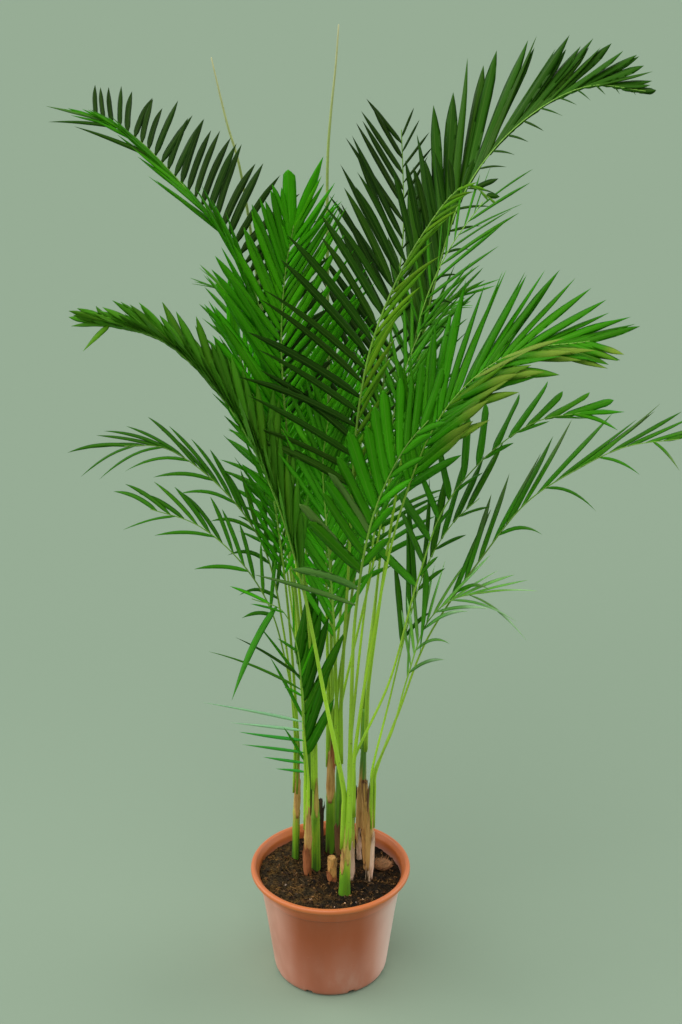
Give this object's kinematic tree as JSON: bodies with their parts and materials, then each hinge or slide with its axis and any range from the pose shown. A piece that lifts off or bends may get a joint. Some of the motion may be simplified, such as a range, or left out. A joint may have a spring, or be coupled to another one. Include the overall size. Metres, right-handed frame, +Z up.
{
  "type": "potted palm",
  "caption": "Tall clump of slender palm canes with arching feather-shaped fronds, in a round tapered plastic nursery pot filled with soil.",
  "frame": {"origin": "centre of the pot's flat foot, on the surface it stands on", "axes": "+Z up along the pot's axis; +X to the right and +Y away for a person facing the plant"},
  "size_m": [0.8863, 0.634, 1.379],
  "materials": {
    "pot_plastic": "satin terracotta plastic",
    "soil": "moist dark bark and peat",
    "cane": "smooth green and tan stem",
    "dry_cane": "dry papery sheath",
    "husk": "coarse brown fibre",
    "spear": "pale green, satin",
    "leaf_dark": "dark green, satin",
    "leaf_middle": "mid green, satin",
    "leaf_bright": "bright green, satin",
    "leaf_pale": "pale green, satin"
  },
  "bodies": {
    "root": {"pot": "pot_plastic", "soil": "soil", "cane_01": "cane", "cane_02": "cane", "cane_03": "cane", "cane_04": "cane", "cane_05": "cane", "cane_06": "cane", "cane_07": "cane", "cane_08": "cane", "cane_09": "cane", "cane_10": "cane", "stub_01": "dry_cane", "stub_02": "dry_cane", "stub_03": "dry_cane", "stub_04": "dry_cane", "stub_05": "dry_cane", "husk": "husk", "spear_left": "spear", "spear_centre": "spear", "frond_01": "leaf_dark", "frond_02": "leaf_dark", "frond_03": "leaf_dark", "frond_04": "leaf_dark", "frond_05": "leaf_bright", "frond_06": "leaf_middle", "frond_07": "leaf_bright", "frond_08": "leaf_middle", "frond_09": "leaf_middle", "frond_10": "leaf_pale", "frond_11": "leaf_dark", "frond_12": "leaf_middle", "frond_13": "leaf_middle", "frond_14": "leaf_bright", "frond_15": "leaf_bright", "frond_16": "leaf_bright", "frond_17": "leaf_middle", "frond_18": "leaf_middle", "frond_19": "leaf_bright", "frond_20": "leaf_middle", "frond_21": "leaf_middle", "frond_22": "leaf_middle", "frond_23": "leaf_middle", "frond_24": "leaf_middle", "frond_25": "leaf_middle", "frond_26": "leaf_bright", "frond_27": "leaf_middle"}
  },
  "joints": []
}
